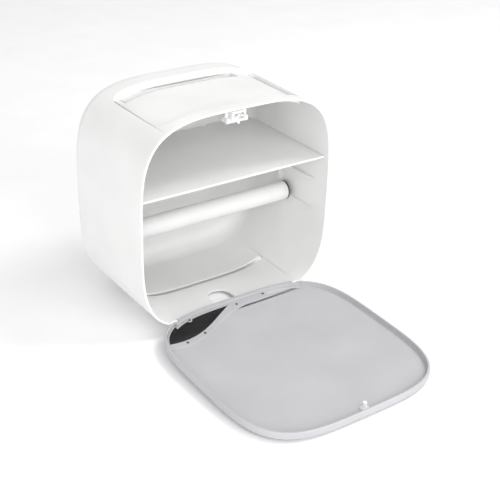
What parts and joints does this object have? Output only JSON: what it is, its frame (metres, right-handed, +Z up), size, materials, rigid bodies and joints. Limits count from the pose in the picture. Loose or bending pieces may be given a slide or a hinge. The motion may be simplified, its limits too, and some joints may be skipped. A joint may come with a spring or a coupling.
{
  "type": "toilet paper holder",
  "caption": "Wall-mounted toilet paper holder: rounded case with a storage shelf, phone tray, roller and drop-down door.",
  "frame": {"origin": "centre of the adhesive pad's face that goes against the wall", "axes": "+X to the right seen from the front, +Y into the wall, +Z up"},
  "size_m": [0.21, 0.335, 0.211],
  "materials": {
    "white_plastic": "fine satin moulded",
    "grey_plastic": "fine satin moulded",
    "smoked_plastic": "smoked, polished",
    "black_rubber": "matte",
    "steel": "bright zinc-plated",
    "dark_screws": "black oxide",
    "foam_tape": "closed-cell foam"
  },
  "bodies": {
    "case": {"case_shell": "white_plastic", "storage_shelf": "white_plastic", "hinge_pin_left": "steel", "hinge_pin_right": "steel", "latch_housing": "white_plastic", "latch_spring": "steel", "latch_screws": "steel", "wall_plate": "white_plastic", "adhesive_pad": "foam_tape"},
    "door": {"door_shell": "grey_plastic", "window_lens": "smoked_plastic", "window_retainer": "grey_plastic", "retainer_screws": "dark_screws", "door_striker": "white_plastic"},
    "axle": {"roller_axle": "steel"},
    "roller": {"roller_tube": "white_plastic", "roller_cap_left": "white_plastic", "roller_cap_right": "white_plastic", "roller_ring_left": "black_rubber", "roller_ring_right": "black_rubber"},
    "latch_slide": {"latch_slider": "white_plastic"},
    "jaw_left": {"latch_jaw_left": "white_plastic"},
    "jaw_right": {"latch_jaw_right": "white_plastic"},
    "cam_pin": {"latch_cam_pin": "steel"}
  },
  "joints": [
    {"name": "door_hinge", "type": "hinge", "parent": "case", "child": "door", "pos_m": [0, -0.1355, -0.098], "axis": [-1, 0, 0], "range_deg": [0, 91.49]},
    {"name": "axle_slide", "type": "slide", "parent": "case", "child": "axle", "axis": [0, -1, 0], "range_m": [0, 0.04]},
    {"name": "roller_spin", "type": "hinge", "parent": "axle", "child": "roller", "pos_m": [0, -0.0761, -0.0243], "axis": [1, 0, 0], "continuous": true},
    {"name": "latch_push", "type": "slide", "parent": "case", "child": "latch_slide", "axis": [0, 1, 0], "range_m": [0, 0.003], "stiffness_N_per_m": 200, "springref_m": -0.002, "deforming": ["latch_spring"]},
    {"name": "jaw_left_turn", "type": "hinge", "parent": "latch_slide", "child": "jaw_left", "pos_m": [-0.0022, -0.1287, 0.0935], "axis": [0, 0, 1], "range_deg": [0, 18]},
    {"name": "jaw_right_turn", "type": "hinge", "parent": "latch_slide", "child": "jaw_right", "pos_m": [0.0042, -0.1287, 0.0935], "axis": [0, 0, -1], "range_deg": [0, 18]},
    {"name": "cam_pin_swing", "type": "hinge", "parent": "case", "child": "cam_pin", "pos_m": [0.001, -0.112, 0.096], "axis": [0, 0, 1], "range_deg": [0, 4.6]}
  ],
  "couplings": [
    {"joint": "jaw_left_turn", "follows": "latch_push", "rad_per_m": 104.7},
    {"joint": "jaw_right_turn", "follows": "latch_push", "rad_per_m": 104.7},
    {"joint": "cam_pin_swing", "follows": "latch_push", "rad_per_m": 26.18}
  ]
}
